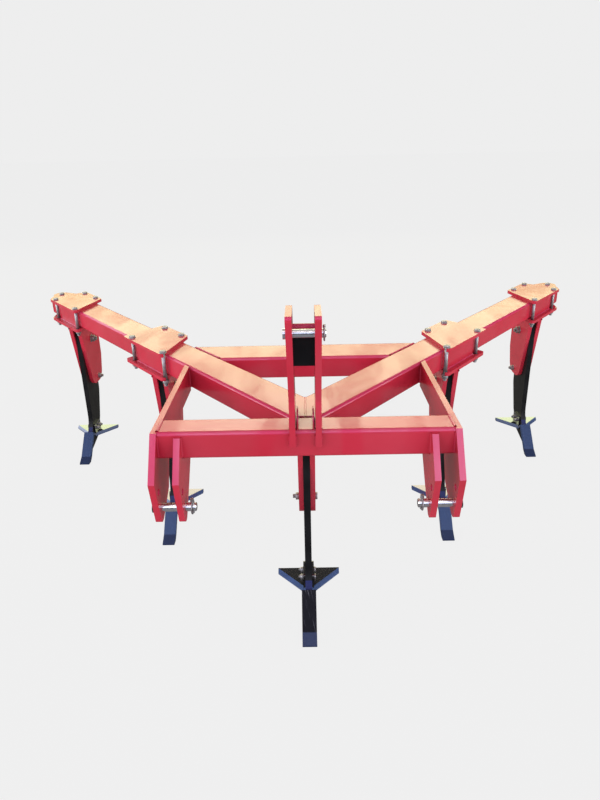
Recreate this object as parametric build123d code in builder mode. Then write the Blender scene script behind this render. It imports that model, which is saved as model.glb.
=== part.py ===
from build123d import *
import math
import os

# Tractor-mounted subsoiler: a V-shaped frame of box tube carried on a three-point hitch,
# with five curved tines. X runs across the frame to the right, Y runs back from the hitch
# and Z runs up. The origin is on the ground, in the middle of the whole machine's plan.

# Frame tubes, in millimetres
frame_top = 864.0
tube_height = 92.0
tube_wall = 8.0
tube_inner_corner = 4.0
front_beam_depth = 100.0
rear_beam_depth = 160.0
rear_beam_back = 646.0
arm_depth = 145.0
arm_angle = 48.5
arm_apex_back = 150.0
arm_past_outer_tine = 238.0
arm_cap_thickness = 8.0

# Lower link brackets
link_spacing = 870.0
link_gap = 55.0
hitch_plate = 20.0
bracket_kink_ahead = 83.0
bracket_kink_drop = 133.0
bracket_nose_ahead = 43.0
bracket_length = 165.0
bracket_heel_ahead = 18.0
bracket_waist_back = 60.0
bracket_waist_rise = 87.0
bracket_corner = 16.0
cheek_root_back = 110.0
cheek_root_rise = 61.0
plate_waist_back = 82.0
plate_waist_rise = 55.0
rail_root_back = 125.0
rail_root_rise = 91.0
rail_step_back = 348.0
rail_step_rise = 32.0
rail_bottom_rise = 18.0
link_pin_ahead = 26.0
link_pin_rise = 49.0
spare_hole_ahead = 43.0
spare_hole_rise = 67.0
spare_pin_diameter = 22.0

# Upper link mast
mast_gap = 62.0
mast_plate_thickness = 18.5
mast_rise = 405.0
mast_kink_rise = 106.0
mast_foot_ahead = 15.0
mast_foot_drop = 49.0
mast_head_ahead = 134.0
mast_head_width = 126.0
mast_head_corner = 10.0
mast_head_land = 14.0
mast_heel_back = 130.0
mast_heel_height = 40.0
tie_bar_ahead = 34.0
tie_bar_drop = 60.0
tie_bar_radius = 12.0
tie_plate_thickness = 12.0
tie_plate_length = 102.0
lug_gap = 44.0
lug_thickness = 5.0
lug_front_back = 8.0
lug_length = 84.0
lug_rise = 55.0
lug_corner = 40.0
top_pin_ahead = 75.0
top_pin_drop = 64.0

# Hitch pins and their linchpins
link_pin_diameter = 28.0
top_pin_diameter = 25.0
pin_running_gap = 0.05
pin_head_gap = 0.5
pin_head_rim = 3.0
pin_head_length = 8.0
pin_end_chamfer = 2.0
link_pin_tail = 36.0
link_linchpin_out = 23.0
top_pin_tail = 13.0
top_linchpin_out = 7.5
linchpin_gap = 0.3
link_linchpin_diameter = 10.0
top_linchpin_diameter = 5.0
ring_clearance = 8.0
ring_wire = 4.0
link_linchpin_boss = 12.0
top_linchpin_boss = 8.0
boss_sink = 4.0

# Tine stations
tine_spacing = 630.0
shank_thickness = 25.0
shank_depth = 170.0
shank_ahead_of_arm = 109.0
centre_shank_back = 181.0

# Clamps that carry the tines under the arms
clamp_overhang = 35.5
clamp_plate_thickness = 16.0
holder_plate_thickness = 15.0
clamp_corner = 14.0
stud_offset = 15.5
stud_hole_radius = 11.0
near_stud_inner = -155.0
near_stud_outer = 125.0
far_stud_inner = -6.0
far_stud_outer = 144.0
middle_near_inner = -178.0
middle_near_outer = 175.0
middle_far_inner = -30.0
middle_far_outer = 190.0
outer_near_inner = -195.0
outer_near_outer = 158.0
outer_far_inner = -45.0
outer_far_outer = 167.0
nose_out = 222.0
nose_forward = 18.0
nose_radius = 44.0
nose_start_turn = -90.0
nose_middle_turn = 0.0
nose_end_turn = 80.0
notch_out = 177.0
notch_back = 48.0
saddle_thickness = 10.0
saddle_rise = 80.0
saddle_stud_gap = 20.0

# Holder cheeks on each side of a shank
cheek_thickness = 18.0
cheek_front_ahead = 28.0
cheek_toe_back = 60.0
cheek_length = 375.0
cheek_heel_back = 198.0
cheek_rear_back = 235.0
cheek_rear_rise = 138.0
cheek_bottom_corner = 62.0
pivot_back = 117.0
pivot_drop = 103.0
pivot_hole_radius = 13.0
shear_back = 148.0
shear_rise = 28.0
shear_hole_radius = 9.0
centre_plate_width = 150.0

# Shank below its holder
shank_taper_top = 320.0
shank_ankle_back = 118.0
shank_ankle_height = 160.0
shank_heel_back = 66.0
shank_heel_height = 70.0
shank_front_bend = 140.0
shank_rear_bend = 120.0

# Chisel share on the foot of each shank
share_width = 53.0
share_thickness = 20.0
share_top_ahead = 54.0
share_top_height = 137.0
share_bend_ahead = 146.0
share_bend_height = 29.0
share_tip_ahead = 184.0
share_edge = 6.0
share_sole = 30.0
share_bend_radius = 12.0

# Wings clamped on each foot
wing_top = 105.0
wing_thickness = 16.0
wing_half_span = 120.0
wing_tip_chord = 16.0
wing_rear_back = 104.0
wing_root_ahead = 12.0
wing_bevel_back = 11.0
wing_bevel_down = 10.0
shoe_thickness = 8.0
shoe_rise = 53.0
shoe_drop = 27.0
shoe_front_ahead = 4.0
shoe_rear_back = 86.0
wing_slot_gap = 2.0
shoe_corner = 10.0
wing_bolt_rise = 22.0
wing_bolt_front = 29.0
wing_bolt_rear = 68.0
wing_bolt_radius = 6.5

# Half the height of the band in which an edge or corner is looked for
search_band = 1.0

# Places that follow from the sizes above
arm_cos = math.cos(math.radians(arm_angle))
arm_sin = math.sin(math.radians(arm_angle))
arm_slope = arm_sin / arm_cos
tube_bottom = frame_top - tube_height
tube_middle = frame_top - tube_height / 2
tube_corner = tube_inner_corner + tube_wall
half_arm = arm_depth / 2
arm_near_apex = arm_apex_back - half_arm / arm_cos
arm_far_apex = arm_apex_back + half_arm / arm_cos
holder_top = tube_bottom - holder_plate_thickness
stud_line = half_arm + stud_offset
plate_edge = half_arm + clamp_overhang
outer_station = 2 * tine_spacing
arm_length = outer_station / arm_cos + arm_past_outer_tine
arm_end = arm_length + arm_cap_thickness
machine_rear = arm_apex_back + arm_end * arm_sin + half_arm * arm_cos
front_y = (mast_head_ahead - machine_rear) / 2
bracket_kink_height = frame_top - bracket_kink_drop
bracket_bottom = bracket_kink_height - bracket_length
bracket_waist_height = bracket_bottom + bracket_waist_rise
cheek_root_height = bracket_waist_height + cheek_root_rise
plate_waist_height = bracket_bottom + plate_waist_rise
rail_root_height = plate_waist_height + rail_root_rise
rail_step_height = rail_root_height + rail_step_rise
rail_bottom = rail_step_height + rail_bottom_rise
link_pin_height = bracket_bottom + link_pin_rise
spare_hole_height = link_pin_height + spare_hole_rise
mast_top = frame_top + mast_rise
tie_bar_height = mast_top - tie_bar_drop
top_pin_height = mast_top - top_pin_drop
cheek_bottom = holder_top - cheek_length
cheek_rear_height = cheek_bottom + cheek_rear_rise
pivot_height = holder_top - pivot_drop
shear_height = cheek_bottom + shear_rise
wing_bolt_height = wing_top + wing_bolt_rise
bracket_inner = link_spacing / 2 - link_gap / 2
bracket_outer = link_spacing / 2 + link_gap / 2
mast_inner = mast_gap / 2
link_bore = link_pin_diameter / 2 + pin_running_gap
spare_bore = spare_pin_diameter / 2 + pin_running_gap
top_bore = top_pin_diameter / 2 + pin_running_gap


def side_view(across, back=0.0):
    """Plane at a place across the frame, with X running back and Y running up."""
    return Plane(origin=(across, front_y + back, 0), x_dir=(0, 1, 0), z_dir=(1, 0, 0))


def arm_view(across, height):
    """Level plane on the right arm's axis, with X running out along the arm."""
    arm_y = front_y + arm_apex_back + across * arm_slope
    return Plane(origin=(across, arm_y, height), x_dir=(arm_cos, arm_sin, 0), z_dir=(0, 0, 1))


def arm_face(back, side=1):
    """Upright plane along an arm's face, looking to the inside of the V."""
    return Plane(
        origin=(0, front_y + back, 0),
        x_dir=(side * arm_cos, arm_sin, 0),
        z_dir=(-side * arm_sin, arm_cos, 0),
    )


os.makedirs("parts", exist_ok=True)
middle_pieces = {}
right_pieces = {}

# Front crossbeam, a box tube between the two side plates
front_section = Plane(
    origin=(-bracket_outer, front_y + front_beam_depth / 2, tube_middle),
    x_dir=(0, 1, 0),
    z_dir=(1, 0, 0),
)
with BuildPart() as front_crossbeam:
    with BuildSketch(front_section):
        RectangleRounded(front_beam_depth, tube_height, tube_corner)
        RectangleRounded(
            front_beam_depth - 2 * tube_wall,
            tube_height - 2 * tube_wall,
            tube_inner_corner,
            mode=Mode.SUBTRACT,
        )
    extrude(amount=2 * bracket_outer)
middle_pieces["front_crossbeam"] = front_crossbeam

# Rear crossbeam, flush with the arms and mitred to their inner faces
rear_half = (rear_beam_back + rear_beam_depth) / arm_slope
rear_section = Plane(
    origin=(-rear_half, front_y + rear_beam_back + rear_beam_depth / 2, tube_middle),
    x_dir=(0, 1, 0),
    z_dir=(1, 0, 0),
)
with BuildPart() as rear_crossbeam:
    with BuildSketch(rear_section):
        RectangleRounded(rear_beam_depth, tube_height, tube_corner)
        RectangleRounded(
            rear_beam_depth - 2 * tube_wall,
            tube_height - 2 * tube_wall,
            tube_inner_corner,
            mode=Mode.SUBTRACT,
        )
    extrude(amount=2 * rear_half)
    split(bisect_by=arm_face(arm_far_apex), keep=Keep.TOP)
    split(bisect_by=arm_face(arm_far_apex, side=-1), keep=Keep.TOP)
middle_pieces["rear_crossbeam"] = rear_crossbeam

# Arm of the V, mitred in the middle and coped to the back of the front crossbeam
arm_start = -arm_depth
arm_section = Plane(
    origin=(arm_start * arm_cos, front_y + arm_apex_back + arm_start * arm_sin, tube_middle),
    x_dir=(-arm_sin, arm_cos, 0),
    z_dir=(arm_cos, arm_sin, 0),
)
with BuildPart() as arm:
    with BuildSketch(arm_section):
        RectangleRounded(arm_depth, tube_height, tube_corner)
        RectangleRounded(
            arm_depth - 2 * tube_wall,
            tube_height - 2 * tube_wall,
            tube_inner_corner,
            mode=Mode.SUBTRACT,
        )
    extrude(amount=arm_length - arm_start)
    split(bisect_by=Plane.YZ, keep=Keep.TOP)
    split(bisect_by=Plane.ZX.offset(front_y + front_beam_depth), keep=Keep.TOP)
right_pieces["arm"] = arm

# Plate that closes the arm's outer end
with BuildPart() as arm_cap:
    with BuildSketch(arm_section.offset(arm_length - arm_start)):
        RectangleRounded(arm_depth, tube_height, tube_corner)
    extrude(amount=arm_cap_thickness)
right_pieces["arm_cap"] = arm_cap

# Inner cheek of the lower link bracket, hung under the front crossbeam
bracket_front = [
    (-bracket_kink_ahead, bracket_kink_height),
    (-bracket_nose_ahead, bracket_bottom),
    (-bracket_heel_ahead, bracket_bottom),
]
with BuildPart() as hitch_cheek:
    with BuildSketch(side_view(bracket_inner - hitch_plate)) as cheek_outline:
        with BuildLine():
            Polyline(
                (0, frame_top - tube_corner),
                (-tube_corner, frame_top - tube_corner),
                *bracket_front,
                (bracket_waist_back, bracket_waist_height),
                (cheek_root_back, cheek_root_height),
                (cheek_root_back, tube_bottom),
                (0, tube_bottom),
                close=True,
            )
        make_face()
        fillet(cheek_outline.vertices().group_by(Axis.Y)[0], bracket_corner)
        with Locations((-link_pin_ahead, link_pin_height)):
            Circle(link_bore, mode=Mode.SUBTRACT)
        with Locations((-spare_hole_ahead, spare_hole_height)):
            Circle(spare_bore, mode=Mode.SUBTRACT)
    extrude(amount=hitch_plate)
right_pieces["hitch_cheek"] = hitch_cheek

# Side plate: the outer cheek of the bracket and the rail back to the arm in one piece
rail_end = arm_near_apex + (bracket_outer + hitch_plate) * arm_slope
with BuildPart() as side_plate:
    with BuildSketch(side_view(bracket_outer)) as plate_outline:
        with BuildLine():
            Polyline(
                (0, frame_top),
                *bracket_front,
                (plate_waist_back, plate_waist_height),
                (rail_root_back, rail_root_height),
                (rail_step_back, rail_step_height),
                (rail_step_back, rail_bottom),
                (rail_end, rail_bottom),
                (rail_end, frame_top),
                close=True,
            )
        make_face()
        fillet(plate_outline.vertices().group_by(Axis.Y)[0], bracket_corner)
        with Locations((-link_pin_ahead, link_pin_height)):
            Circle(link_bore, mode=Mode.SUBTRACT)
        with Locations((-spare_hole_ahead, spare_hole_height)):
            Circle(spare_bore, mode=Mode.SUBTRACT)
    extrude(amount=hitch_plate)
    split(bisect_by=arm_face(arm_near_apex), keep=Keep.BOTTOM)
right_pieces["side_plate"] = side_plate

# Mast plate, standing on the front crossbeam and the joint of the V
with BuildPart() as mast_plate:
    with BuildSketch(side_view(mast_inner)) as mast_outline:
        with BuildLine():
            Polyline(
                (0, frame_top - mast_foot_drop),
                (-mast_foot_ahead, frame_top - mast_foot_drop),
                (-mast_foot_ahead, frame_top + mast_kink_rise),
                (-mast_head_ahead, mast_top - mast_head_land),
                (-mast_head_ahead, mast_top),
                (mast_head_width - mast_head_ahead, mast_top),
                (mast_heel_back, frame_top + mast_heel_height),
                (mast_heel_back, frame_top),
                (0, frame_top),
                close=True,
            )
        make_face()
        fillet(mast_outline.vertices().group_by(Axis.Y)[-1], mast_head_corner)
        with Locations((-top_pin_ahead, top_pin_height)):
            Circle(top_bore, mode=Mode.SUBTRACT)
    extrude(amount=mast_plate_thickness)
right_pieces["mast_plate"] = mast_plate

# Round tie bar between the mast plates, behind the upper link pin
with BuildPart() as mast_tie_bar:
    with BuildSketch(side_view(-mast_inner)):
        with Locations((-tie_bar_ahead, tie_bar_height)):
            Circle(tie_bar_radius)
    extrude(amount=mast_gap)
middle_pieces["mast_tie_bar"] = mast_tie_bar

# Tie plate under the bar
with BuildPart() as mast_tie_plate:
    with BuildSketch(side_view(-mast_inner)):
        with Locations((-tie_bar_ahead, tie_bar_height - tie_bar_radius)):
            Rectangle(tie_plate_thickness, tie_plate_length, align=(Align.CENTER, Align.MAX))
    extrude(amount=mast_gap)
middle_pieces["mast_tie_plate"] = mast_tie_plate

# Round-topped lug beside the mast's foot, one on each side of the middle
with BuildPart() as mast_lug:
    with BuildSketch(side_view(lug_gap / 2)) as lug_outline:
        with Locations((lug_front_back, frame_top)):
            Rectangle(lug_length, lug_rise, align=(Align.MIN, Align.MIN))
        fillet(lug_outline.vertices().group_by(Axis.Y)[-1], lug_corner)
    extrude(amount=lug_thickness)
right_pieces["mast_lug"] = mast_lug

# Hitch pins, each with a head at one end and a linchpin through the other
link_pin_length = link_gap + 2 * hitch_plate + pin_head_gap + link_pin_tail
link_linchpin_at = link_gap + 2 * hitch_plate + pin_head_gap + link_linchpin_out
top_pin_length = mast_gap + 2 * mast_plate_thickness + pin_head_gap + top_pin_tail
top_linchpin_at = mast_gap + 2 * mast_plate_thickness + pin_head_gap + top_linchpin_out
link_pin_seat = bracket_outer + hitch_plate + pin_head_gap
top_pin_seat = -mast_inner - mast_plate_thickness - pin_head_gap
hitch_pins = (
    # label, seat across, way to the tail, ahead, height
    # and diameter, length, linchpin's diameter, place along the pin and boss
    (("lower_link", link_pin_seat, -1, link_pin_ahead, link_pin_height),
     (link_pin_diameter, link_pin_length, link_linchpin_diameter, link_linchpin_at,
      link_linchpin_boss)),
    (("top_link", top_pin_seat, 1, top_pin_ahead, top_pin_height),
     (top_pin_diameter, top_pin_length, top_linchpin_diameter, top_linchpin_at,
      top_linchpin_boss)),
)
for (label, seat, way, ahead, height), (diameter, length, lin_diameter, lin_at, boss) in hitch_pins:
    pin_start = Plane(
        origin=(seat, front_y - ahead, height), x_dir=(0, way, 0), z_dir=(way, 0, 0)
    )
    lin_start = Plane(
        origin=(seat + way * lin_at, front_y - ahead, height), x_dir=(1, 0, 0), z_dir=(0, 0, 1)
    )
    with BuildPart() as pin:
        with BuildSketch(pin_start):
            Circle(diameter / 2)
        extrude(amount=length)
        chamfer(pin.edges().sort_by(Axis.X)[0 if way < 0 else -1], pin_end_chamfer)
        with BuildSketch(pin_start):
            Circle(diameter / 2 + pin_head_rim)
        extrude(amount=-pin_head_length)
        with BuildSketch(lin_start):
            Circle(lin_diameter / 2 + linchpin_gap)
        extrude(amount=diameter, both=True, mode=Mode.SUBTRACT)
    ring_radius = diameter / 2 + ring_clearance
    with BuildPart(pin_start.offset(lin_at)) as linchpin:
        Torus(ring_radius, ring_wire / 2)
    with BuildPart() as linchpin_shaft:
        with BuildSketch(lin_start):
            Circle(lin_diameter / 2)
        extrude(amount=ring_radius, both=True)
        with BuildSketch(lin_start.offset(ring_radius - boss_sink)):
            Circle(boss / 2)
        extrude(amount=boss)
    with BuildPart() as whole_linchpin:
        add(linchpin.part)
        add(linchpin_shaft.part)
    pieces = right_pieces if way < 0 else middle_pieces
    pieces[f"{label}_pin"] = pin
    pieces[f"{label}_linchpin"] = whole_linchpin

# Clamp plate over the arm at each outer pair of tines, and the plan of its lower plate
near_studs = [(near_stud_inner, -stud_line), (near_stud_outer, -stud_line)]
far_studs = [(far_stud_inner, stud_line), (far_stud_outer, stud_line)]
nose = Vector(nose_out, -nose_forward)
nose_turns = (nose_start_turn, nose_middle_turn, nose_end_turn)
nose_arc = [nose + Vector(nose_radius, 0).rotate(Axis.Z, turn) for turn in nose_turns]
arm_stations = (
    # label, place across, near inner, near outer, far outer, far inner, has a nose
    ("middle", tine_spacing, middle_near_inner, middle_near_outer,
     middle_far_outer, middle_far_inner, False),
    ("outer", outer_station, outer_near_inner, outer_near_outer,
     outer_far_outer, outer_far_inner, True),
)
for label, across, near_inner, near_outer, far_outer, far_inner, has_nose in arm_stations:
    studs = near_studs + far_studs + ([(nose.X, nose.Y)] if has_nose else [])
    level = arm_view(across, 0)
    with BuildSketch(Plane.XY) as clamp_plan:
        with BuildLine():
            start = Polyline(
                (far_outer, plate_edge),
                (far_inner, plate_edge),
                (near_inner, -plate_edge),
                (near_outer, -plate_edge),
            )
            if has_nose:
                Line(start @ 1, nose_arc[0])
                ThreePointArc(*nose_arc)
                Polyline(nose_arc[2], (notch_out, notch_back), start @ 0)
            else:
                Line(start @ 1, start @ 0)
        make_face()
        wide_corners = clamp_plan.vertices().filter_by(
            lambda corner: abs(abs(corner.Y) - plate_edge) < search_band
        )
        fillet(wide_corners, clamp_corner)
        with Locations(*studs):
            Circle(stud_hole_radius, mode=Mode.SUBTRACT)
    with BuildPart() as clamp_plate:
        with BuildSketch(level.offset(frame_top)):
            add(clamp_plan.sketch)
        extrude(amount=clamp_plate_thickness)
    right_pieces[f"clamp_plate_{label}"] = clamp_plate

    # Holder under the arm: lower plate, saddle panels beside the tube and two cheeks
    shank_front = arm_apex_back + across * arm_slope - shank_ahead_of_arm
    with BuildPart() as holder:
        with BuildSketch(level.offset(holder_top)):
            add(clamp_plan.sketch)
        extrude(amount=holder_plate_thickness)
        with BuildSketch(level.offset(tube_bottom)):
            for inner, outer, sense in (
                (near_stud_inner, near_stud_outer, -1),
                (far_stud_inner, far_stud_outer, 1),
            ):
                panel_length = outer - inner - 2 * saddle_stud_gap
                with Locations(((inner + outer) / 2, sense * (half_arm + saddle_thickness / 2))):
                    Rectangle(panel_length, saddle_thickness)
        extrude(amount=saddle_rise)
        for cheek_start in (
            across - shank_thickness / 2 - cheek_thickness,
            across + shank_thickness / 2,
        ):
            with BuildSketch(side_view(cheek_start, shank_front)) as cheek:
                with BuildLine():
                    Polyline(
                        (-cheek_front_ahead, holder_top),
                        (cheek_toe_back, cheek_bottom),
                        (cheek_heel_back, cheek_bottom),
                        (cheek_rear_back, cheek_rear_height),
                        (cheek_rear_back, holder_top),
                        close=True,
                    )
                make_face()
                fillet(cheek.vertices().group_by(Axis.Y)[0], cheek_bottom_corner)
                with Locations((pivot_back, pivot_height)):
                    Circle(pivot_hole_radius, mode=Mode.SUBTRACT)
                with Locations((shear_back, shear_height)):
                    Circle(shear_hole_radius, mode=Mode.SUBTRACT)
            extrude(amount=cheek_thickness)
    right_pieces[f"holder_{label}"] = holder

# Centre holder, with a plate welded under the joint of the V
with BuildPart() as holder_centre:
    with BuildSketch(Plane.XY.offset(holder_top)):
        with Locations((0, front_y + front_beam_depth)):
            Rectangle(
                centre_plate_width,
                centre_shank_back + cheek_rear_back - front_beam_depth,
                align=(Align.CENTER, Align.MIN),
            )
    extrude(amount=holder_plate_thickness)
    for cheek_start in (-shank_thickness / 2 - cheek_thickness, shank_thickness / 2):
        with BuildSketch(side_view(cheek_start, centre_shank_back)) as cheek:
            with BuildLine():
                Polyline(
                    (-cheek_front_ahead, holder_top),
                    (cheek_toe_back, cheek_bottom),
                    (cheek_heel_back, cheek_bottom),
                    (cheek_rear_back, cheek_rear_height),
                    (cheek_rear_back, holder_top),
                    close=True,
                )
            make_face()
            fillet(cheek.vertices().group_by(Axis.Y)[0], cheek_bottom_corner)
            with Locations((pivot_back, pivot_height)):
                Circle(pivot_hole_radius, mode=Mode.SUBTRACT)
            with Locations((shear_back, shear_height)):
                Circle(shear_hole_radius, mode=Mode.SUBTRACT)
        extrude(amount=cheek_thickness)
middle_pieces["holder_centre"] = holder_centre

# Share's face line, and the same line through the seat on the shank's foot
face_run = share_bend_ahead - share_top_ahead
face_fall = share_top_height - share_bend_height
face_length = math.hypot(face_run, face_fall)
seat_back = share_thickness * face_fall / face_length
seat_drop = share_thickness * face_run / face_length
seat_top = (seat_back - share_top_ahead, share_top_height - seat_drop)
seat_bottom = (seat_back - share_bend_ahead, share_bend_height - seat_drop)
knee_height = seat_top[1] - seat_top[0] * face_fall / face_run

# Depth of the shank's foot where the wings' upper face passes it
ankle_share = (wing_top - shank_heel_height) / (shank_ankle_height - shank_heel_height)
foot_rear_back = shank_heel_back + ankle_share * (shank_ankle_back - shank_heel_back)

# Tines: shank, share and wings at each station
tines = (
    # label, place across, shank's front edge behind the frame's front
    ("centre", 0.0, centre_shank_back),
    ("middle", tine_spacing, arm_apex_back + tine_spacing * arm_slope - shank_ahead_of_arm),
    ("outer", outer_station, arm_apex_back + outer_station * arm_slope - shank_ahead_of_arm),
)
for label, across, shank_front in tines:
    with BuildPart() as shank:
        with BuildSketch(side_view(across - shank_thickness / 2, shank_front)) as outline:
            with BuildLine():
                Polyline(
                    (0, holder_top),
                    (0, knee_height),
                    seat_top,
                    seat_bottom,
                    (shank_heel_back, shank_heel_height),
                    (shank_ankle_back, shank_ankle_height),
                    (shank_depth, shank_taper_top),
                    (shank_depth, holder_top),
                    close=True,
                )
            make_face()
        extrude(amount=shank_thickness)
        rear_corner = shank.edges().filter_by(Axis.X).filter_by_position(
            Axis.Z, shank_taper_top - search_band, shank_taper_top + search_band
        )
        fillet(rear_corner, shank_rear_bend)
        front_corner = shank.edges().filter_by(Axis.X).filter_by_position(
            Axis.Z, knee_height - search_band, knee_height + search_band
        )
        fillet(front_corner, shank_front_bend)
        with BuildSketch(side_view(across - shank_thickness / 2, shank_front)):
            with Locations((pivot_back, pivot_height)):
                Circle(pivot_hole_radius)
            with Locations((shear_back, shear_height)):
                Circle(shear_hole_radius)
            with Locations((wing_bolt_front, wing_bolt_height), (wing_bolt_rear, wing_bolt_height)):
                Circle(wing_bolt_radius)
        extrude(amount=shank_thickness, mode=Mode.SUBTRACT)

    with BuildPart() as share:
        with BuildSketch(side_view(across - share_width / 2, shank_front)):
            with BuildLine():
                Polyline(
                    (-share_top_ahead, share_top_height),
                    (-share_bend_ahead, share_bend_height),
                    (-share_tip_ahead, share_edge),
                    (-share_tip_ahead, 0),
                    (share_sole - share_tip_ahead, 0),
                    seat_bottom,
                    seat_top,
                    close=True,
                )
            make_face()
        extrude(amount=share_width)
        bend_edge = share.edges().filter_by(Axis.X).filter_by_position(
            Axis.Z, share_bend_height - search_band, share_bend_height + search_band
        )
        fillet(bend_edge, share_bend_radius)

    with BuildPart() as wings:
        wing_level = Plane(
            origin=(across, front_y + shank_front, wing_top), x_dir=(1, 0, 0), z_dir=(0, 0, 1)
        )
        with BuildSketch(wing_level):
            with BuildLine():
                Polyline(
                    (-shank_thickness / 2 - shoe_thickness, -wing_root_ahead),
                    (-wing_half_span, wing_rear_back - wing_tip_chord),
                    (-wing_half_span, wing_rear_back),
                    (wing_half_span, wing_rear_back),
                    (wing_half_span, wing_rear_back - wing_tip_chord),
                    (shank_thickness / 2 + shoe_thickness, -wing_root_ahead),
                    close=True,
                )
            make_face()
            with Locations((0, -wing_root_ahead)):
                Rectangle(
                    shank_thickness,
                    wing_root_ahead + foot_rear_back + wing_slot_gap,
                    align=(Align.CENTER, Align.MIN),
                    mode=Mode.SUBTRACT,
                )
        extrude(amount=-wing_thickness)
        wing_face = wings.faces().sort_by(Axis.Z)[-1]
        leading_edges = wing_face.edges().filter_by(Axis.X, reverse=True)
        leading_edges = leading_edges.filter_by(Axis.Y, reverse=True)
        chamfer(leading_edges, wing_bevel_back, wing_bevel_down, reference=wing_face)
        for shoe_start in (-shank_thickness / 2 - shoe_thickness, shank_thickness / 2):
            with BuildSketch(side_view(across + shoe_start, shank_front)) as shoe:
                with Locations((-shoe_front_ahead, wing_top - shoe_drop)):
                    Rectangle(
                        shoe_front_ahead + shoe_rear_back,
                        shoe_drop + shoe_rise,
                        align=(Align.MIN, Align.MIN),
                    )
                fillet(shoe.vertices(), shoe_corner)
                with Locations(
                    (wing_bolt_front, wing_bolt_height), (wing_bolt_rear, wing_bolt_height)
                ):
                    Circle(wing_bolt_radius, mode=Mode.SUBTRACT)
            extrude(amount=shoe_thickness)
    pieces = right_pieces if across > 0 else middle_pieces
    pieces[f"shank_{label}"] = shank
    pieces[f"share_{label}"] = share
    pieces[f"wings_{label}"] = wings

# Pieces on the middle line are written as they are
for label, piece in middle_pieces.items():
    piece.part.label = label
    export_step(piece.part, f"parts/{label}.step")

# Pieces on the right are written with their mirror images on the left
for label, right_piece in right_pieces.items():
    with BuildPart() as left_piece:
        mirror(right_piece.part, about=Plane.YZ)
    for side, piece in (("right", right_piece), ("left", left_piece)):
        piece.part.label = f"{label}_{side}"
        export_step(piece.part, f"parts/{label}_{side}.step")
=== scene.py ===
# %% [markdown]
# # A five-legged subsoiler, dressed in paint and fasteners
# A subsoiler hangs on the back of a tractor and breaks up hard ground far below the plough.
# The welded frame, the tines and the hitch come from an engineering model as a fixed frame.
# This lesson adds what a workshop adds last: bolts, weld seams, paint, plating and wear.

# %% Load the machine
import math

import bmesh
import bpy
from mathutils import Matrix, Vector


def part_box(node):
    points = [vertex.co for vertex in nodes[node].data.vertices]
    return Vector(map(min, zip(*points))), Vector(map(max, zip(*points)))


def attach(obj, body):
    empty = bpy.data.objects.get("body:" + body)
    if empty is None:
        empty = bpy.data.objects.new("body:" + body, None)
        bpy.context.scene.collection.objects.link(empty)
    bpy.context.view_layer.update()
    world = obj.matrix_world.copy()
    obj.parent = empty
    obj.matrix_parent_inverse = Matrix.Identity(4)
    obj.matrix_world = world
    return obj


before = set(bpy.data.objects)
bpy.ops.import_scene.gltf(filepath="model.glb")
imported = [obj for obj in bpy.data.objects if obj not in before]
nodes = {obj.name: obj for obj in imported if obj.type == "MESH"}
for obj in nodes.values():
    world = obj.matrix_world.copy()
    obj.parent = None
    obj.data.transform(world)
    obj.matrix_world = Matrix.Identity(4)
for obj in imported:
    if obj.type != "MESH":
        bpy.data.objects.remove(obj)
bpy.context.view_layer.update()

# %% [markdown]
# ## Where things are
# Bolts and seams have to sit exactly on the steel, so their places are worked out from the
# same few sizes that the machine was designed with, in metres. The front crossbeam's front
# face is read from the frame itself. The V's arms run back at an angle, so one function
# turns "so far along this arm, so far to its side" into a place on the machine.

# %% Sizes of the machine
front_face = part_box("front_crossbeam")[0][1]
frame_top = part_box("front_crossbeam")[1][2]
tube_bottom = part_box("front_crossbeam")[0][2]
tine_spacing = 0.630
arm_turn = math.radians(48.5)
slope = math.tan(arm_turn)
arm_apex = front_face + 0.150
half_arm = 0.0725
shank_half = 0.0125
cheek = 0.018
wing_cheek = 0.008
shank_ahead_of_arm = 0.109
shank_front = {0: front_face + 0.181}
for station in (1, 2):
    shank_front[station] = arm_apex + station * tine_spacing * slope - shank_ahead_of_arm
print("shank fronts:", {station: round(y, 3) for station, y in shank_front.items()})


def on_arm(station, along, across, height, side):
    """A place given along and across an arm, from its station on the arm's axis."""
    x = station * tine_spacing + along * math.cos(arm_turn) - across * math.sin(arm_turn)
    y = arm_apex + station * tine_spacing * slope
    y += along * math.sin(arm_turn) + across * math.cos(arm_turn)
    return Vector((side * x, y, height))


# %% [markdown]
# ## The camera
# The view is that of someone standing on a step in front of the machine, a little above the
# mast. The lens was worked out from the edges of the frame. The small shift moves the
# picture up and down without tilting the camera, as a view camera does.

# %% Place the camera
pitch, yaw, roll = math.radians(19.9), math.radians(-0.6), math.radians(-1.3)
level_reach = math.cos(pitch)
forward = Vector((math.sin(yaw) * level_reach, math.cos(yaw) * level_reach, -math.sin(pitch)))
level_right = Vector((math.cos(yaw), -math.sin(yaw), 0))
level_up = level_right.cross(forward)
camera_right = math.cos(roll) * level_right + math.sin(roll) * level_up
camera_up = math.cos(roll) * level_up - math.sin(roll) * level_right
turn = Matrix((camera_right, camera_up, -forward)).transposed().to_4x4()
camera = bpy.data.objects.new("camera", bpy.data.cameras.new("camera"))
picture_height = 800
focal_length_in_pixels = 584.1
film_height_mm = 36
shift_in_pixels = -50
camera.data.lens = focal_length_in_pixels * film_height_mm / picture_height
camera.data.shift_y = shift_in_pixels / picture_height
camera.data.clip_end = 200
camera_place = Vector((0.0052, front_face - 1.6056, 1.7108))
camera.matrix_world = Matrix.Translation(camera_place) @ turn
bpy.context.scene.collection.objects.link(camera)
bpy.context.scene.camera = camera
print("lens:", round(camera.data.lens, 2), "mm")

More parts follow.
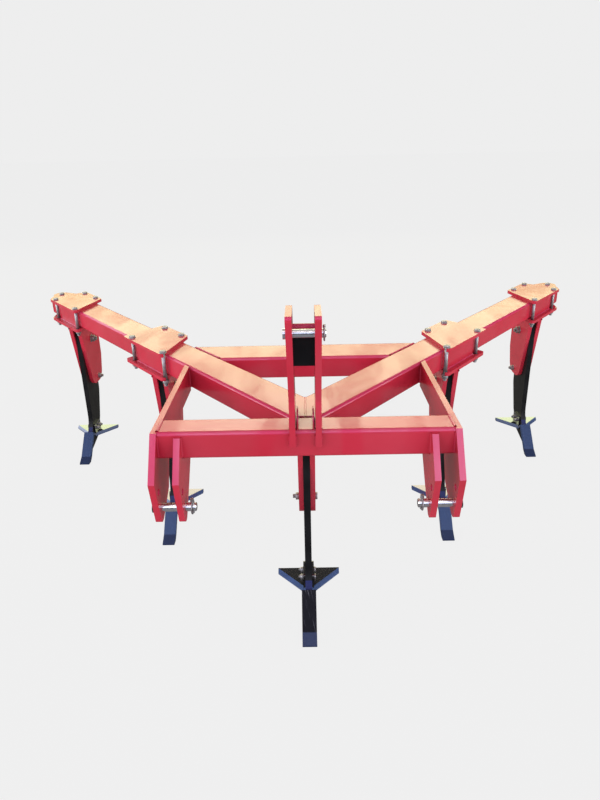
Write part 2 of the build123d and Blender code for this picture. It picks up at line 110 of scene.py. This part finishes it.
# %% [markdown]
# ## Colours and nodes
# Paint makers and screens give colours as sRGB hex values, while the renderer counts light
# in linear steps, so one function turns one into the other. Every material is a small graph
# of nodes. Writing the graph out by hand is long, so a second function adds one node with
# its settings and its links in a single line.

# %% Helpers for colours and nodes
def paint(hex_colour):
    """An sRGB hex colour as the linear colour that the renderer mixes."""
    channels = [int(hex_colour[i:i + 2], 16) / 255 for i in (1, 3, 5)]
    linear = [c / 12.92 if c <= 0.04045 else ((c + 0.055) / 1.055) ** 2.4 for c in channels]
    return (*linear, 1.0)


def add_node(tree, kind, settings, inputs):
    """Adds a node, sets it up and links or fills its sockets, and hands it back."""
    made = tree.nodes.new(kind)
    for name, value in settings.items():
        setattr(made, name, value)
    for name, value in inputs.items():
        if isinstance(value, bpy.types.NodeSocket):
            tree.links.new(value, made.inputs[name])
        else:
            made.inputs[name].default_value = value
    return made


def new_material(name):
    """An empty material and its node tree."""
    material = bpy.data.materials.new(name)
    material.use_nodes = True
    material.node_tree.nodes.clear()
    return material, material.node_tree


# %% [markdown]
# ## The studio
# The machine stands on a pale seamless floor that is lit from within, like a light table,
# so it also lights the upright plates from below. The camera sees the paper's own pale
# colour with a soft shadow, mirrored rays see it dim, and all other rays see the glow. Wide
# lamps stand in front and at the sides. Four warm strips, one above another, stand behind
# the machine where its level faces mirror them, so the gloss of each level face turns cream
# or peach by its distance. A strip's radiance and height are set by what mirrors it.

# %% Floor and world
backdrop = paint("#efefef")
floor_mesh = bpy.data.meshes.new("studio_floor")
floor_shape = bmesh.new()
bmesh.ops.create_grid(floor_shape, x_segments=1, y_segments=1, size=60)
floor_shape.to_mesh(floor_mesh)
floor_shape.free()
studio_floor = bpy.data.objects.new("studio_floor", floor_mesh)
bpy.context.scene.collection.objects.link(studio_floor)

floor_material, tree = new_material("seamless_paper")
rays = add_node(tree, "ShaderNodeLightPath", {}, {})
grey = add_node(tree, "ShaderNodeBsdfDiffuse", {}, {"Color": paint("#b4b4b4")})
glow = add_node(tree, "ShaderNodeEmission", {}, {"Color": backdrop, "Strength": 1.8})
shared = add_node(tree, "ShaderNodeMixShader", {}, {0: 0.5, 1: grey.outputs[0], 2: glow.outputs[0]})
dim = add_node(tree, "ShaderNodeBsdfDiffuse", {}, {"Color": paint("#7c7c7c")})
matt = add_node(tree, "ShaderNodeMixShader", {}, {
    0: rays.outputs["Is Glossy Ray"], 1: shared.outputs[0], 2: dim.outputs[0],
})
lit = add_node(tree, "ShaderNodeBsdfDiffuse", {}, {"Color": paint("#e4e4e4")})
even = add_node(tree, "ShaderNodeEmission", {}, {"Color": backdrop, "Strength": 1.0})
pale = add_node(tree, "ShaderNodeMixShader", {}, {0: 0.98, 1: lit.outputs[0], 2: even.outputs[0]})
paper = add_node(tree, "ShaderNodeMixShader", {}, {
    0: rays.outputs["Is Camera Ray"], 1: matt.outputs[0], 2: pale.outputs[0],
})
add_node(tree, "ShaderNodeOutputMaterial", {}, {"Surface": paper.outputs[0]})
floor_mesh.materials.append(floor_material)

world = bpy.data.worlds.new("studio_world")
world.use_nodes = True
tree = world.node_tree
tree.nodes.clear()
rays = add_node(tree, "ShaderNodeLightPath", {}, {})
fill = add_node(tree, "ShaderNodeBackground", {}, {"Color": paint("#f4f6f8"), "Strength": 0.12})
wall = add_node(tree, "ShaderNodeBackground", {}, {"Color": backdrop, "Strength": 0.99})
both = add_node(tree, "ShaderNodeMixShader", {}, {
    0: rays.outputs["Is Camera Ray"], 1: fill.outputs[0], 2: wall.outputs[0],
})
add_node(tree, "ShaderNodeOutputWorld", {}, {"Surface": both.outputs[0]})
bpy.context.scene.world = world
bpy.context.scene.view_settings.view_transform = "Standard"


# %% Lamps
def softbox(name, place, target, width, height, radiance, colour):
    """An area lamp at a place, turned to a target, whose face shines at a given level."""
    lamp = bpy.data.lights.new(name, "AREA")
    lamp.shape = "RECTANGLE"
    lamp.size = width
    lamp.size_y = height
    lamp.color = paint(colour)[:3]
    lamp.energy = radiance * math.pi * width * height
    holder = bpy.data.objects.new(name, lamp)
    aim = (Vector(target) - Vector(place)).to_track_quat("-Z", "Y")
    holder.matrix_world = Matrix.Translation(place) @ aim.to_matrix().to_4x4()
    holder.visible_camera = False
    bpy.context.scene.collection.objects.link(holder)


strip_distance, strip_width = 9.0, 15
for name, low, high, radiance, colour in (
    ("rear_strip_lowest", 1.9, 3.1, 1.6, "#f4dc84"),
    ("rear_strip_low", 3.1, 4.1, 4.8, "#eff3c4"),
    ("rear_strip_middle", 4.1, 5.3, 4.3, "#eaf4c0"),
    ("rear_strip_high", 5.3, 6.7, 6.1, "#f8ead0"),
):
    level = (low + high) / 2
    place, target = (0, strip_distance, level), (0, 0, level)
    softbox(name, place, target, strip_width, high - low, radiance, colour)
for name, place, target, width, height, radiance, colour in (
    ("front_left", (-2.8, -5.6, 4.2), (0, 0, 0.7), 5.4, 3.8, 3.3, "#d8dfff"),
    ("front_right", (2.8, -5.6, 4.2), (0, 0, 0.7), 5.4, 3.8, 3.3, "#d8dfff"),
    ("front_low_left", (-4.6, -4.6, 1.5), (0, 0.2, 0.7), 4.0, 2.4, 1.7, "#ffffff"),
    ("front_low_right", (4.6, -4.6, 1.5), (0, 0.2, 0.7), 4.0, 2.4, 1.5, "#ffffff"),
    ("side_left", (-6.5, -1.2, 1.9), (0, 0.6, 0.7), 4.5, 2.8, 6.2, "#ffffff"),
    ("side_right", (6.5, -1.2, 1.9), (0, 0.6, 0.7), 4.5, 2.8, 5.6, "#ffffff"),
    ("rear_left", (-7.0, 3.6, 3.0), (0, 0.4, 0.8), 5.0, 3.8, 2.6, "#eef3ff"),
    ("overhead", (0, 0.6, 6.8), (0, 0.6, 0.8), 8, 5, 0.7, "#fff8ea"),
    ("front_top", (0, -3.2, 6.2), (0, 0, 0.8), 8, 0.8, 4.5, "#fff0f6"),
):
    softbox(name, place, target, width, height, radiance, colour)

# %% [markdown]
# ## Red enamel
# The frame is sprayed with gloss machinery enamel over primer. Wet enamel pulls itself
# almost flat and leaves a faint orange peel, ripples about 3 mm across, so its gloss is
# sharp but a little uneven. The colour drifts slightly where the coat is thicker, and the
# gloss drifts in broad smears where it was wiped. Faces that look partly up, the edges of the
# tubes and the sloping plate edges, are given a pinker red as a painted highlight, standing
# in for the bright band they mirror. A clear coat over the pigment would also do, but plain
# enamel is one layer with a resin gloss, so the main shader's own reflection is used, with IOR 1.5.

# %% Red enamel on the frame
def red_enamel():
    material, tree = new_material("gloss_red_enamel_on_steel")
    place = add_node(tree, "ShaderNodeTexCoord", {}, {})
    drift = add_node(tree, "ShaderNodeTexNoise", {}, {
        "Vector": place.outputs["Object"], "Scale": 3.0, "Detail": 3.0,
    })
    colour = add_node(tree, "ShaderNodeValToRGB", {}, {"Fac": drift.outputs["Fac"]})
    colour.color_ramp.elements[0].position = 0.3
    colour.color_ramp.elements[0].color = paint("#a82231")
    colour.color_ramp.elements[1].position = 0.7
    colour.color_ramp.elements[1].color = paint("#b62a3c")
    peel = add_node(tree, "ShaderNodeTexNoise", {}, {
        "Vector": place.outputs["Object"], "Scale": 160.0, "Detail": 1.0,
    })
    waves = add_node(tree, "ShaderNodeTexNoise", {}, {
        "Vector": place.outputs["Object"], "Scale": 9.0, "Detail": 2.0,
    })
    ripple = add_node(tree, "ShaderNodeBump", {}, {
        "Strength": 0.05, "Distance": 0.002, "Height": peel.outputs["Fac"],
    })
    sag = add_node(tree, "ShaderNodeBump", {}, {
        "Strength": 0.06, "Distance": 0.02, "Height": waves.outputs["Fac"],
        "Normal": ripple.outputs[0],
    })
    dull = add_node(tree, "ShaderNodeMapRange", {}, {
        "Value": drift.outputs["Fac"], "From Min": 0.3, "From Max": 0.7,
        "To Min": 0.16, "To Max": 0.24,
    })
    stretch = add_node(tree, "ShaderNodeMapping", {}, {
        "Vector": place.outputs["Object"], "Scale": (6.0, 2.0, 2.0),
    })
    smears = add_node(tree, "ShaderNodeTexNoise", {}, {
        "Vector": stretch.outputs[0], "Scale": 1.0, "Detail": 4.0, "Distortion": 0.8,
    })
    thick = add_node(tree, "ShaderNodeMapRange", {}, {
        "Value": smears.outputs["Fac"], "From Min": 0.40, "From Max": 0.58,
        "To Min": 0.22, "To Max": 0.62,
    })
    # Painted highlight: faces that look partly up, such as the tubes' rounded edges and the sloping
    # plate edges, are picked by their normal for a pinker red.
    shape = add_node(tree, "ShaderNodeNewGeometry", {}, {})
    facing = add_node(tree, "ShaderNodeSeparateXYZ", {}, {"Vector": shape.outputs["True Normal"]})
    rise = add_node(tree, "ShaderNodeMapRange", {}, {
        "Value": facing.outputs["Z"], "From Min": 0.10, "From Max": 0.35,
    })
    fall = add_node(tree, "ShaderNodeMapRange", {}, {
        "Value": facing.outputs["Z"], "From Min": 0.99, "From Max": 0.93,
    })
    painted_highlight_mask = add_node(tree, "ShaderNodeMath", {"operation": "MULTIPLY"}, {
        0: rise.outputs[0], 1: fall.outputs[0],
    })
    # The pinker red of the painted highlight is mixed in here, standing in for the bright band
    # those faces mirror.
    thin = add_node(tree, "ShaderNodeMix", {"data_type": "RGBA"}, {"Factor": painted_highlight_mask.outputs[0]})
    tree.links.new(colour.outputs[0], thin.inputs[6])
    thin.inputs[7].default_value = paint("#b83252")
    skin = add_node(tree, "ShaderNodeBsdfPrincipled", {}, {
        "Base Color": thin.outputs[2], "Roughness": dull.outputs[0], "Normal": sag.outputs[0],
        "IOR": 1.5, "Specular IOR Level": thick.outputs[0],
    })
    add_node(tree, "ShaderNodeOutputMaterial", {}, {"Surface": skin.outputs[0]})
    return material


enamel = red_enamel()

# %% [markdown]
# ## Black enamel and blued edges
# The shanks and wings are sprayed black. The wings' leading edges and the shares are
# hardened steel, and the maker dips them in a blue enamel after grinding, so they look blue
# where the black coat ends. On the wings the blue is laid by direction: a face that looks
# forward and outward is a ground edge. Reading the surface's own normal does that on every
# wing at once. The wings have a clear coat over it all, so their tops mirror the strips. On
# a shank the dip reaches a hand's breadth up its front edge. A share is darkest at its tip,
# below the bend, and the middle one is worn black above it.

# %% Black enamel on shanks and wings
def black_enamel():
    material, tree = new_material("satin_black_enamel_on_steel")
    place = add_node(tree, "ShaderNodeTexCoord", {}, {})
    cloud = add_node(tree, "ShaderNodeTexNoise", {}, {
        "Vector": place.outputs["Object"], "Scale": 14.0, "Detail": 5.0,
    })
    colour = add_node(tree, "ShaderNodeValToRGB", {}, {"Fac": cloud.outputs["Fac"]})
    colour.color_ramp.elements[0].position = 0.35
    colour.color_ramp.elements[0].color = paint("#0c0c0d")
    colour.color_ramp.elements[1].position = 0.75
    colour.color_ramp.elements[1].color = paint("#171718")
    grit = add_node(tree, "ShaderNodeTexNoise", {}, {
        "Vector": place.outputs["Object"], "Scale": 220.0, "Detail": 2.0,
    })
    bump = add_node(tree, "ShaderNodeBump", {}, {
        "Strength": 0.12, "Distance": 0.001, "Height": grit.outputs["Fac"],
    })
    dull = add_node(tree, "ShaderNodeMapRange", {}, {
        "Value": cloud.outputs["Fac"], "From Min": 0.3, "From Max": 0.7,
        "To Min": 0.36, "To Max": 0.50,
    })
    height = add_node(tree, "ShaderNodeSeparateXYZ", {}, {"Vector": place.outputs["Object"]})
    low = add_node(tree, "ShaderNodeMath", {"operation": "LESS_THAN"}, {
        0: height.outputs["Z"], 1: 0.150,
    })
    shape = add_node(tree, "ShaderNodeNewGeometry", {}, {})
    facing = add_node(tree, "ShaderNodeSeparateXYZ", {}, {"Vector": shape.outputs["True Normal"]})
    forward_face = add_node(tree, "ShaderNodeMath", {"operation": "LESS_THAN"}, {
        0: facing.outputs["Y"], 1: -0.5,
    })
    dipped = add_node(tree, "ShaderNodeMath", {"operation": "MULTIPLY"}, {
        0: low.outputs[0], 1: forward_face.outputs[0],
    })
    coat = add_node(tree, "ShaderNodeMix", {"data_type": "RGBA"}, {"Factor": dipped.outputs[0]})
    tree.links.new(colour.outputs[0], coat.inputs[6])
    coat.inputs[7].default_value = paint("#1c2250")
    skin = add_node(tree, "ShaderNodeBsdfPrincipled", {}, {
        "Base Color": coat.outputs[2], "Roughness": dull.outputs[0], "Normal": bump.outputs[0],
        "IOR": 1.5, "Specular IOR Level": 0.2,
    })
    add_node(tree, "ShaderNodeOutputMaterial", {}, {"Surface": skin.outputs[0]})
    return material


def wing_enamel():
    material, tree = new_material("black_enamel_with_blued_cutting_edge")
    place = add_node(tree, "ShaderNodeTexCoord", {}, {})
    shape = add_node(tree, "ShaderNodeNewGeometry", {}, {})
    facing = add_node(tree, "ShaderNodeSeparateXYZ", {}, {"Vector": shape.outputs["True Normal"]})
    forward_face = add_node(tree, "ShaderNodeMath", {"operation": "LESS_THAN"}, {
        0: facing.outputs["Y"], 1: -0.3,
    })
    side_run = add_node(tree, "ShaderNodeMath", {"operation": "ABSOLUTE"}, {0: facing.outputs["X"]})
    swept = add_node(tree, "ShaderNodeMath", {"operation": "GREATER_THAN"}, {
        0: side_run.outputs[0], 1: 0.3,
    })
    edge = add_node(tree, "ShaderNodeMath", {"operation": "MULTIPLY"}, {
        0: forward_face.outputs[0], 1: swept.outputs[0],
    })
    cloud = add_node(tree, "ShaderNodeTexNoise", {}, {
        "Vector": place.outputs["Object"], "Scale": 20.0, "Detail": 4.0,
    })
    black = add_node(tree, "ShaderNodeValToRGB", {}, {"Fac": cloud.outputs["Fac"]})
    black.color_ramp.elements[0].color = paint("#121213")
    black.color_ramp.elements[1].color = paint("#202022")
    blue = add_node(tree, "ShaderNodeValToRGB", {}, {"Fac": cloud.outputs["Fac"]})
    blue.color_ramp.elements[0].color = paint("#2a3a58")
    blue.color_ramp.elements[1].color = paint("#475c86")
    colour = add_node(tree, "ShaderNodeMix", {"data_type": "RGBA"}, {"Factor": edge.outputs[0]})
    tree.links.new(black.outputs[0], colour.inputs[6])
    tree.links.new(blue.outputs[0], colour.inputs[7])
    skin = add_node(tree, "ShaderNodeBsdfPrincipled", {}, {
        "Base Color": colour.outputs[2], "Roughness": 0.14, "IOR": 1.5,
        "Coat Weight": 1.0, "Coat Roughness": 0.06,
    })
    add_node(tree, "ShaderNodeOutputMaterial", {}, {"Surface": skin.outputs[0]})
    return material


black = black_enamel()
wing_black = wing_enamel()


# %% Blued shares
def share_enamel(name, face, scratch, sheen):
    """Blue enamel on a share's tip, and another colour with scratches above the bend."""
    material, tree = new_material(name)
    place = add_node(tree, "ShaderNodeTexCoord", {}, {})
    height = add_node(tree, "ShaderNodeSeparateXYZ", {}, {"Vector": place.outputs["Object"]})
    cloud = add_node(tree, "ShaderNodeTexNoise", {}, {
        "Vector": place.outputs["Object"], "Scale": 24.0, "Detail": 4.0,
    })
    line = add_node(tree, "ShaderNodeMapRange", {}, {
        "Value": height.outputs["Z"], "From Min": 0.028, "From Max": 0.030,
    })
    blue = add_node(tree, "ShaderNodeValToRGB", {}, {"Fac": cloud.outputs["Fac"]})
    blue.color_ramp.elements[0].color = paint("#141d3e")
    blue.color_ramp.elements[1].color = paint("#223350")
    slant = add_node(tree, "ShaderNodeMapping", {}, {
        "Vector": place.outputs["Object"], "Rotation": (0.0, 0.3, 0.0),
    })
    stretch = add_node(tree, "ShaderNodeMapping", {}, {
        "Vector": slant.outputs[0], "Scale": (260.0, 14.0, 10.0),
    })
    strokes = add_node(tree, "ShaderNodeTexNoise", {}, {
        "Vector": stretch.outputs[0], "Scale": 1.0, "Detail": 3.0, "Distortion": 0.4,
    })
    worn = add_node(tree, "ShaderNodeValToRGB", {}, {"Fac": strokes.outputs["Fac"]})
    worn.color_ramp.elements[0].position = 0.62
    worn.color_ramp.elements[0].color = paint(face)
    worn.color_ramp.elements[1].position = 0.74
    worn.color_ramp.elements[1].color = paint(scratch)
    colour = add_node(tree, "ShaderNodeMix", {"data_type": "RGBA"}, {"Factor": line.outputs[0]})
    tree.links.new(blue.outputs[0], colour.inputs[6])
    tree.links.new(worn.outputs[0], colour.inputs[7])
    bump = add_node(tree, "ShaderNodeBump", {}, {
        "Strength": 0.2, "Distance": 0.0006, "Height": strokes.outputs["Fac"],
    })
    gloss = add_node(tree, "ShaderNodeMapRange", {}, {
        "Value": line.outputs[0], "To Min": 0.28, "To Max": sheen,
    })
    skin = add_node(tree, "ShaderNodeBsdfPrincipled", {}, {
        "Base Color": colour.outputs[2], "Roughness": 0.34, "Normal": bump.outputs[0],
        "IOR": 1.5, "Specular IOR Level": gloss.outputs[0],
    })
    add_node(tree, "ShaderNodeOutputMaterial", {}, {"Surface": skin.outputs[0]})
    return material


share_black = share_enamel("black_and_blue_enamel_on_forged_share", "#0f0e12", "#55545a", 0.08)
share_blue = share_enamel("blue_enamel_on_forged_share", "#21365a", "#2b4268", 0.28)


# %% [markdown]
# ## Zinc plate and bright steel
# Bolts and nuts are steel with a zinc plate, and the hitch pins are bright drawn steel. Both
# shine like bare metal, with cloudy patches where the surface is duller, so each is a full
# metal whose roughness wanders, widely on the plate and little on the pins. The heads of the
# two lower pins, outside the brackets, are painted black.

# %% Zinc on fasteners and pins
def bare_metal(name, light, dark, rough, wander, painted_beyond=None):
    """Cloudy bare metal, painted black further from the middle than a given distance."""
    material, tree = new_material(name)
    place = add_node(tree, "ShaderNodeTexCoord", {}, {})
    patch = add_node(tree, "ShaderNodeTexNoise", {}, {
        "Vector": place.outputs["Object"], "Scale": 90.0, "Detail": 4.0,
    })
    colour = add_node(tree, "ShaderNodeValToRGB", {}, {"Fac": patch.outputs["Fac"]})
    colour.color_ramp.elements[0].position = 0.35
    colour.color_ramp.elements[0].color = paint(dark)
    colour.color_ramp.elements[1].position = 0.65
    colour.color_ramp.elements[1].color = paint(light)
    dull = add_node(tree, "ShaderNodeMapRange", {}, {
        "Value": patch.outputs["Fac"], "From Min": 0.3, "From Max": 0.7,
        "To Min": rough - wander, "To Max": rough + wander,
    })
    skin = add_node(tree, "ShaderNodeBsdfPrincipled", {}, {
        "Base Color": colour.outputs[0], "Roughness": dull.outputs[0], "Metallic": 1.0,
    })
    if painted_beyond:
        span = add_node(tree, "ShaderNodeSeparateXYZ", {}, {"Vector": place.outputs["Object"]})
        reach = add_node(tree, "ShaderNodeMath", {"operation": "ABSOLUTE"}, {0: span.outputs["X"]})
        bare = add_node(tree, "ShaderNodeMath", {"operation": "LESS_THAN"}, {
            0: reach.outputs[0], 1: painted_beyond,
        })
        coat = add_node(tree, "ShaderNodeMix", {"data_type": "RGBA"}, {"Factor": bare.outputs[0]})
        coat.inputs[6].default_value = paint("#141214")
        tree.links.new(colour.outputs[0], coat.inputs[7])
        tree.links.new(coat.outputs[2], skin.inputs["Base Color"])
        tree.links.new(bare.outputs[0], skin.inputs["Metallic"])
    add_node(tree, "ShaderNodeOutputMaterial", {}, {"Surface": skin.outputs[0]})
    return material


zinc = bare_metal("bright_zinc_plate_on_steel", "#b6b4b2", "#9c9a99", 0.58, 0.07)
pin_head_from = 0.484
bright_steel = bare_metal("bright_drawn_steel_pin", "#dededf", "#d0d1d3", 0.22, 0.02, pin_head_from)

# %% Hand each steel piece its finish
for name, piece in nodes.items():
    # The mast's tie plate is given the black enamel as well, so it shows dark between the mast
    # plates behind the top pin.
    if name.startswith("shank") or name == "mast_tie_plate":
        finish = black
    elif name.startswith("wings"):
        finish = wing_black
    elif name == "share_centre":
        finish = share_black
    elif name.startswith("share"):
        finish = share_blue
    elif "linchpin" in name:
        finish = zinc
    elif "pin" in name:
        finish = bright_steel
    else:
        finish = enamel
    piece.data.materials.clear()
    piece.data.materials.append(finish)
print("finished nodes:", len(nodes))


# %% [markdown]
# ## Bolts
# Each clamp is drawn together by long M16 bolts: a hexagon head with a washer above, a bare
# shank beside the tube, and a washer and nut below with a little thread left over. A bolt is
# simple turned and forged stock, so stacked cones and cylinders with their rims bevelled
# give its true shape. The thread is drawn as a few coarse rings, because real ones are too
# fine to show.

# %% Bolt maker
def along(start, direction):
    """The turn and place that puts a piece's own Z axis along a direction."""
    aim = Vector((0, 0, 1)).rotation_difference(direction)
    return Matrix.Translation(start) @ aim.to_matrix().to_4x4()


def add_drum(shape, stance, low, high, low_radius, high_radius, segments, rim=0.0):
    """A drum or hexagon between two heights, with its two rims bevelled."""
    middle = stance @ Matrix.Translation((0, 0, (low + high) / 2))
    made = bmesh.ops.create_cone(
        shape, cap_ends=True, segments=segments, radius1=low_radius, radius2=high_radius,
        depth=high - low, matrix=middle,
    )
    if rim:
        faces = {face for vert in made["verts"] for face in vert.link_faces}
        caps = [face for face in faces if len(face.verts) == segments]
        rims = list({edge for face in caps for edge in face.edges})
        bmesh.ops.bevel(
            shape, geom=rims, offset=rim, segments=2, profile=0.5, affect="EDGES", material=-1,
        )


def add_bolt(shape, start, direction, radius, grip, thread):
    """A bolt whose head seats at start and whose nut seats a grip further on."""
    stance = along(start, direction)
    corner = 1.73 * radius
    washer, disc = 0.15 * radius, 2.0 * radius
    disc_rim, corner_rim = 0.0004, 0.0008
    nut_start = grip + washer
    nut_end = grip + washer + 1.6 * radius
    add_drum(shape, stance, -washer, 0, disc, disc, 24, disc_rim)
    add_drum(shape, stance, -washer - radius, -washer, corner, corner, 6, corner_rim)
    add_drum(shape, stance, 0, grip, radius, radius, 20)
    add_drum(shape, stance, grip, nut_start, disc, disc, 24, disc_rim)
    add_drum(shape, stance, nut_start, nut_end, corner, corner, 6, corner_rim)
    ring, root = 0.0022, 0.86 * radius
    level = nut_end
    while level < nut_end + thread:
        add_drum(shape, stance, level, level + ring / 2, root, radius, 16)
        add_drum(shape, stance, level + ring / 2, level + ring, radius, root, 16)
        level += ring


def finish_piece(name, shape, material, body):
    """Turns a finished shape into an object that rides on a body of the machine."""
    mesh = bpy.data.meshes.new(name)
    shape.to_mesh(mesh)
    shape.free()
    mesh.materials.append(material)
    piece = bpy.data.objects.new(name, mesh)
    bpy.context.scene.collection.objects.link(piece)
    for face in mesh.polygons:
        face.use_smooth = True
    with bpy.context.temp_override(object=piece, selected_editable_objects=[piece]):
        bpy.ops.object.shade_auto_smooth(angle=math.radians(35))
    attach(piece, body)
    return piece


# %% Clamp bolts on the arms
clamp_top = frame_top + 0.016
holder_bottom = tube_bottom - 0.015
stud_line = half_arm + 0.0155
# How far out along the arm and how far across it each stud stands
pairs = [(-0.155, -stud_line), (0.125, -stud_line), (-0.006, stud_line), (0.144, stud_line)]
studs = {1: pairs, 2: pairs + [(0.222, -0.018)]}
stud_radius, stud_thread = 0.008, 0.013
down = Vector((0, 0, -1))
for station in (1, 2):
    for side, side_name in ((-1, "left"), (1, "right")):
        shape = bmesh.new()
        for out, over in studs[station]:
            top = on_arm(station, out, over, clamp_top, side)
            add_bolt(shape, top, down, stud_radius, clamp_top - holder_bottom, stud_thread)
        finish_piece(f"clamp_bolts_{station}_{side_name}", shape, zinc, "frame")

# %% Pivot, shear and wing bolts on each tine
tines = [(0, 1, "centre")]
for station in (1, 2):
    tines += [(station, -1, f"{station}_left"), (station, 1, f"{station}_right")]
# How far back from the shank's front, how high, radius, thread left over, cheek under the head
cross_bolts = (
    (0.117, 0.654, 0.011, 0.010, cheek),
    (0.148, 0.410, 0.008, 0.010, cheek),
    (0.029, 0.127, 0.006, 0.005, wing_cheek),
    (0.068, 0.127, 0.006, 0.005, wing_cheek),
)
for station, side, label in tines:
    shape = bmesh.new()
    for back, height, radius, thread, side_wall in cross_bolts:
        half_grip = shank_half + side_wall
        outer = side * (station * tine_spacing + half_grip)
        start = Vector((outer, shank_front[station] + back, height))
        add_bolt(shape, start, Vector((-side, 0, 0)), radius, 2 * half_grip, thread)
    finish_piece(f"tine_bolts_{label}", shape, zinc, "frame")


# %% [markdown]
# ## Weld seams
# The frame is welded from cut plate and tube, and each joint has a bead 4 to 10 mm wide
# with fine cross ripples where the welder paused. A bead is a round sweep along the joint.
# One spin with no turn and a step along the seam sweeps all its rings at once, and every
# second ring is then drawn in a little to make the ripples.

# %% Seam maker
def add_seam(shape, start, end, radius=0.005, ripple=0.006, pinch=0.86):
    """A rippled weld bead between two points on a joint."""
    start, end = Vector(start), Vector(end)
    run = end - start
    heading = run.normalized()
    steps = max(2, round(run.length / ripple) * 2)
    ring = bmesh.ops.create_circle(
        shape, cap_ends=False, segments=8, radius=radius, matrix=along(start, heading),
    )
    edges = list({edge for vert in ring["verts"] for edge in vert.link_edges})
    before = set(shape.verts)
    bmesh.ops.spin(
        shape, geom=ring["verts"] + edges, cent=start, axis=heading, dvec=run / steps,
        angle=0.0, steps=steps, use_merge=False,
    )
    verts = [vert for vert in shape.verts if vert not in before] + ring["verts"]
    for vert in verts:
        level = (vert.co - start).dot(heading)
        if round(level / (run.length / steps)) % 2:
            axis_point = start + heading * level
            vert.co = axis_point + (vert.co - axis_point) * pinch


# %% Seams on the frame
shape = bmesh.new()
corner = 0.012
thin, thinner, thinnest = 0.004, 0.003, 0.002
sunk_top = frame_top - 0.001
seam_high, seam_low = frame_top - corner, tube_bottom + corner
bracket_outer = 0.4625
cheek_faces = (0.4075, 0.3875)
plate_outside = bracket_outer + 0.020
beam_back = front_face + 0.100
near_apex = arm_apex - half_arm / math.cos(arm_turn)
far_apex = arm_apex + half_arm / math.cos(arm_turn)
rear_front, rear_back = front_face + 0.646, front_face + 0.806
arm_end = 0.238
plate_high, plate_foot = frame_top - 0.014, tube_bottom + 0.004
inset, gap = 0.010, 0.004
mast_faces, lug_face = (0.031, 0.0495), 0.022
mast_back, lug_back, mast_low = front_face + 0.128, front_face + 0.090, 0.815
for side in (-1, 1):
    # The front crossbeam's ends on the side plates
    x = side * bracket_outer
    add_seam(shape, (x, front_face + corner, frame_top), (x, beam_back - corner, frame_top))
    add_seam(shape, (x, front_face, seam_high), (x, front_face, seam_low))
    # The inner cheeks on the crossbeam
    for x in (side * face for face in cheek_faces):
        front, back = front_face + corner, beam_back - corner
        add_seam(shape, (x, front, tube_bottom), (x, back, tube_bottom), thin)
        add_seam(shape, (x, front_face, plate_high), (x, front_face, seam_low), thin)
    # The side plates on the arms
    for face in (bracket_outer, plate_outside):
        y = near_apex + face * slope
        add_seam(shape, (side * face, y, seam_high), (side * face, y, plate_foot))
    # The arms on the back of the front crossbeam
    arm_x = (beam_back - near_apex) / slope
    x = side * arm_x
    add_seam(shape, (x, beam_back, frame_top - inset), (x, beam_back, tube_bottom + inset))
    x_inner, x_outer = side * gap, side * (arm_x - gap)
    add_seam(shape, (x_inner, beam_back, sunk_top), (x_outer, beam_back, sunk_top), thin)
    # The rear crossbeam on the arms' inner faces
    for y in (rear_front, rear_back):
        x = side * (y - far_apex) / slope
        add_seam(shape, (x, y, seam_high), (x, y, seam_low))
    y_front, y_back = rear_front + corner, rear_back - corner
    x_front, x_back = (y_front - far_apex) / slope, (y_back - far_apex) / slope
    add_seam(shape, (side * x_front, y_front, sunk_top), (side * x_back, y_back, sunk_top), thin)
    # The closing plates on the arms' outer ends
    near_end = on_arm(2, arm_end, -half_arm + inset, sunk_top, side)
    far_end = on_arm(2, arm_end, half_arm - inset, sunk_top, side)
    add_seam(shape, near_end, far_end, thinner)
    for over in (-half_arm, half_arm):
        high_end = on_arm(2, arm_end, over, seam_high, side)
        low_end = on_arm(2, arm_end, over, seam_low, side)
        add_seam(shape, high_end, low_end, thinner)
    # The mast plates and lugs on the frame
    for x in (side * face for face in mast_faces):
        add_seam(shape, (x, front_face + corner, frame_top), (x, mast_back, frame_top), thin)
        add_seam(shape, (x, front_face, plate_high), (x, front_face, mast_low), thin)
    x = side * lug_face
    add_seam(shape, (x, front_face + corner, frame_top), (x, lug_back, frame_top), thinnest)
# The joint of the V
add_seam(shape, (0, beam_back, sunk_top), (0, far_apex - corner, sunk_top), thin)
add_seam(shape, (0, far_apex, seam_high), (0, far_apex, seam_low))
finish_piece("frame_seams", shape, enamel, "frame")

# %% Seams on the holders
shape = bmesh.new()
# How far out along the arm a saddle seam starts and ends, and how far across the arm it lies
saddle_line = half_arm + 0.010
saddle_seams = ((-0.135, 0.105, -saddle_line), (0.014, 0.124, saddle_line))
holder_ahead, holder_behind = 0.024, 0.230
for station, side, label in tines:
    for edge in (-shank_half - cheek, shank_half + cheek):
        x = side * station * tine_spacing + edge
        y = shank_front[station]
        front, back = y - holder_ahead, y + holder_behind
        add_seam(shape, (x, front, holder_bottom), (x, back, holder_bottom))
    if station:
        for inner, outer, over in saddle_seams:
            start = on_arm(station, inner, over, tube_bottom, side)
            end = on_arm(station, outer, over, tube_bottom, side)
            add_seam(shape, start, end, thin)
finish_piece("holder_seams", shape, enamel, "frame")
